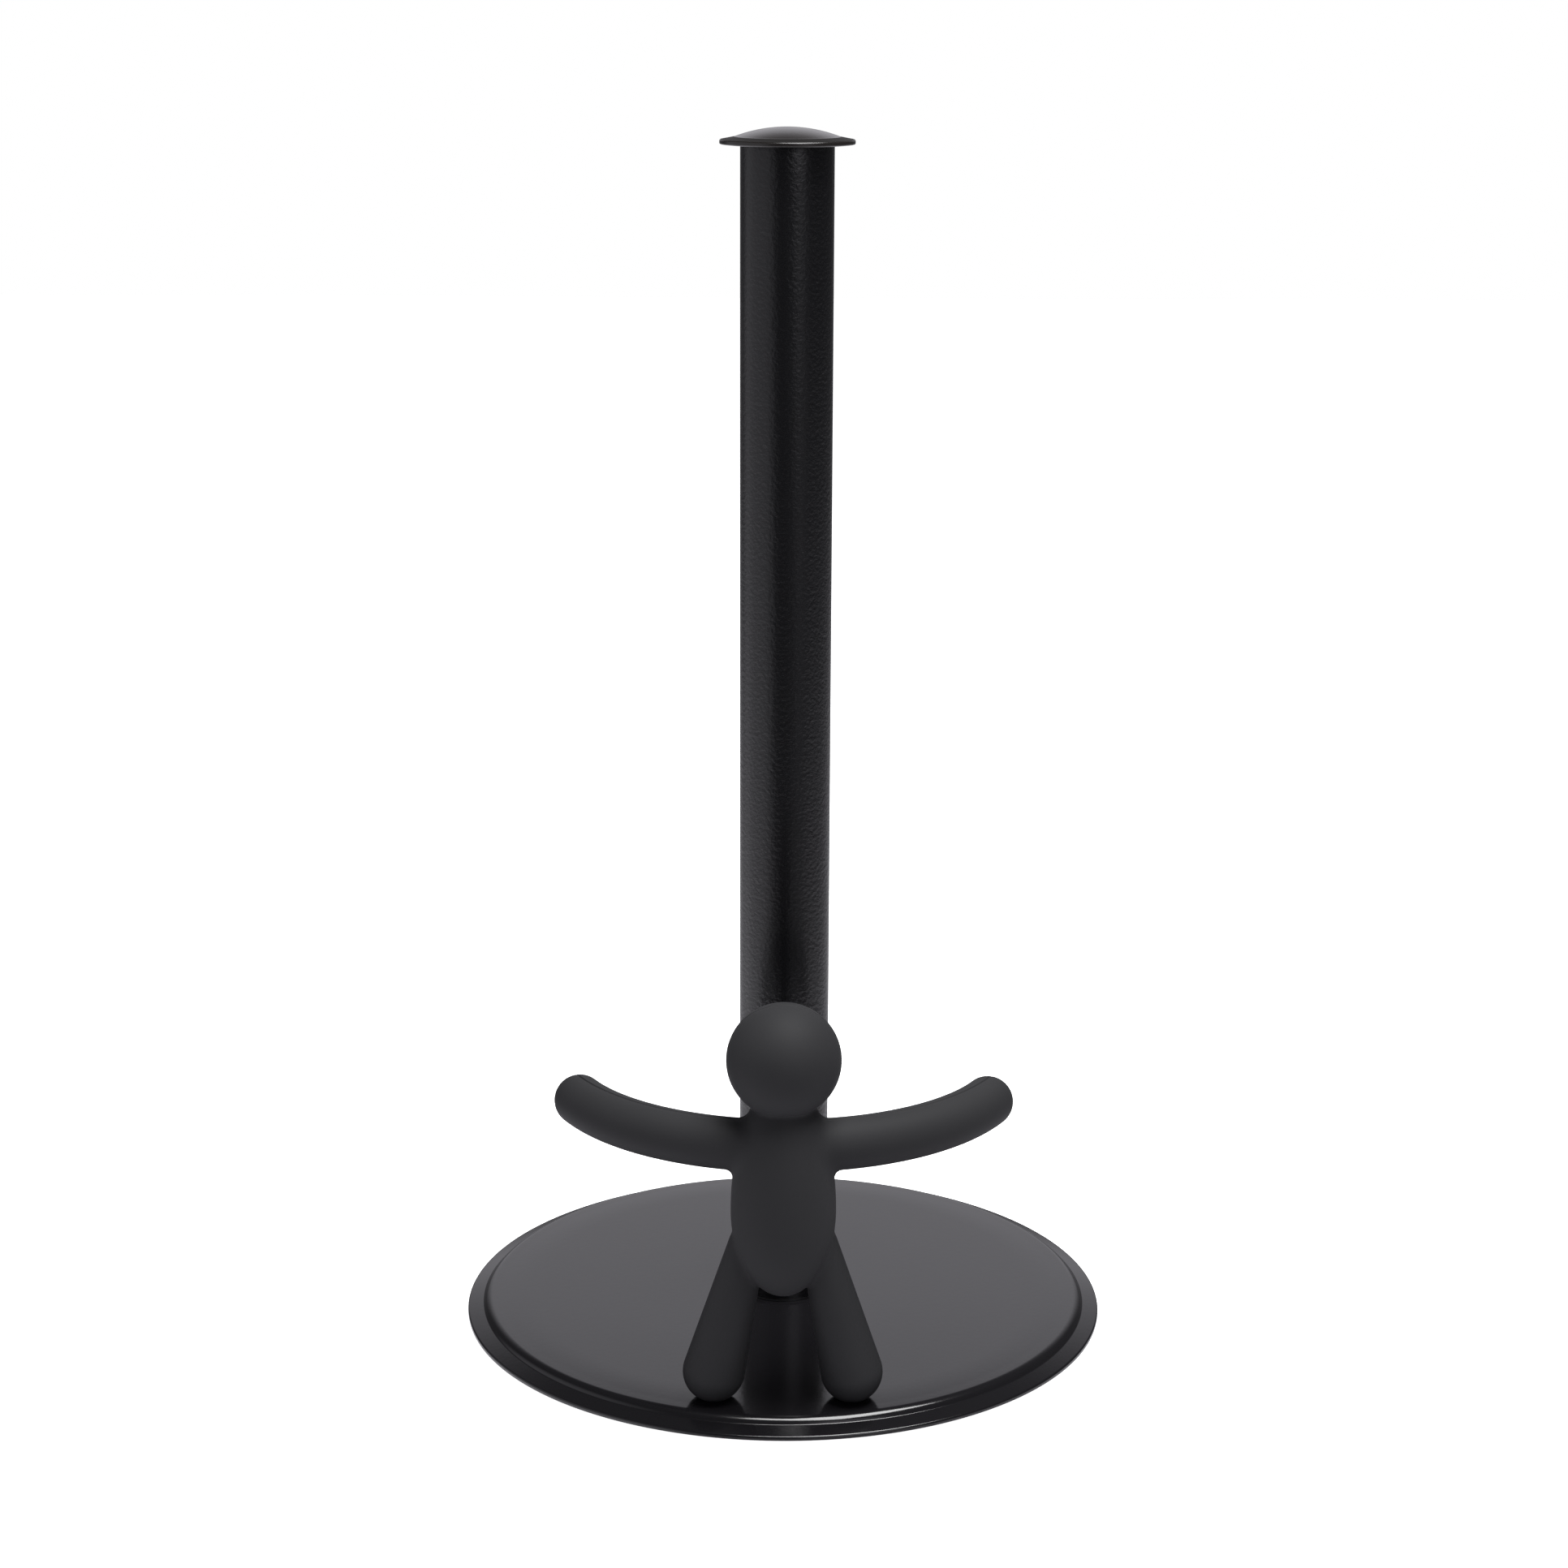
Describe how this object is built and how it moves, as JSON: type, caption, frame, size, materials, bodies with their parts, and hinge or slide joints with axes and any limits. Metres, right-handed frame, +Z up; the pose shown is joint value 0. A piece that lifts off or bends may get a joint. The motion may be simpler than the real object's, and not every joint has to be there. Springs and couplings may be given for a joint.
{
  "type": "paper towel holder",
  "caption": "Free-standing upright paper towel holder: round weighted base, screw-on pole with a domed cap, and a small plain figure whose bent arms keep the roll from unwinding.",
  "frame": {"origin": "on the table, under the pad, on the axis of the pole", "axes": "+Z up along the pole, -Y towards the figure, +X to the right seen from the figure's side"},
  "size_m": [0.1844, 0.1848, 0.3381],
  "materials": {
    "base_paint": "satin black powder coat, soft mirror gloss",
    "pole_paint": "satin black powder coat",
    "cap_paint": "satin black with a slightly warm cast",
    "figure_plastic": "soft-touch matte charcoal",
    "pad_rubber": "matte, non-slip",
    "weight_steel": "plain sheet steel",
    "plug_steel": "machined steel",
    "fastener_zinc": "bright zinc plate",
    "insert_brass": "machined brass",
    "nylon": "black nylon"
  },
  "bodies": {
    "base": {"base_cover": "base_paint", "base_weight": "weight_steel", "base_pad": "pad_rubber", "pole_bolt": "fastener_zinc", "bolt_spring_washer": "fastener_zinc", "bolt_nut": "fastener_zinc", "figure_front_shell": "figure_plastic", "figure_rear_shell": "figure_plastic", "figure_inserts": "insert_brass", "figure_washers": "fastener_zinc", "figure_screws": "fastener_zinc"},
    "lift_washer": {"slip_washer": "nylon"},
    "pole": {"pole_tube": "pole_paint", "pole_plug": "plug_steel", "cap_bush": "nylon", "pole_cap": "cap_paint"}
  },
  "joints": [
    {"name": "pole_lift", "type": "slide", "parent": "base", "child": "lift_washer", "axis": [0, 0, 1], "range_m": [0, 0.01]},
    {"name": "pole_turn", "type": "hinge", "parent": "lift_washer", "child": "pole", "pos_m": [0, 0, 0.0055], "axis": [0, 0, 1], "range_deg": [0, 2880]}
  ],
  "couplings": [
    {"joint": "pole_turn", "follows": "pole_lift", "rad_per_m": 5026.5}
  ]
}
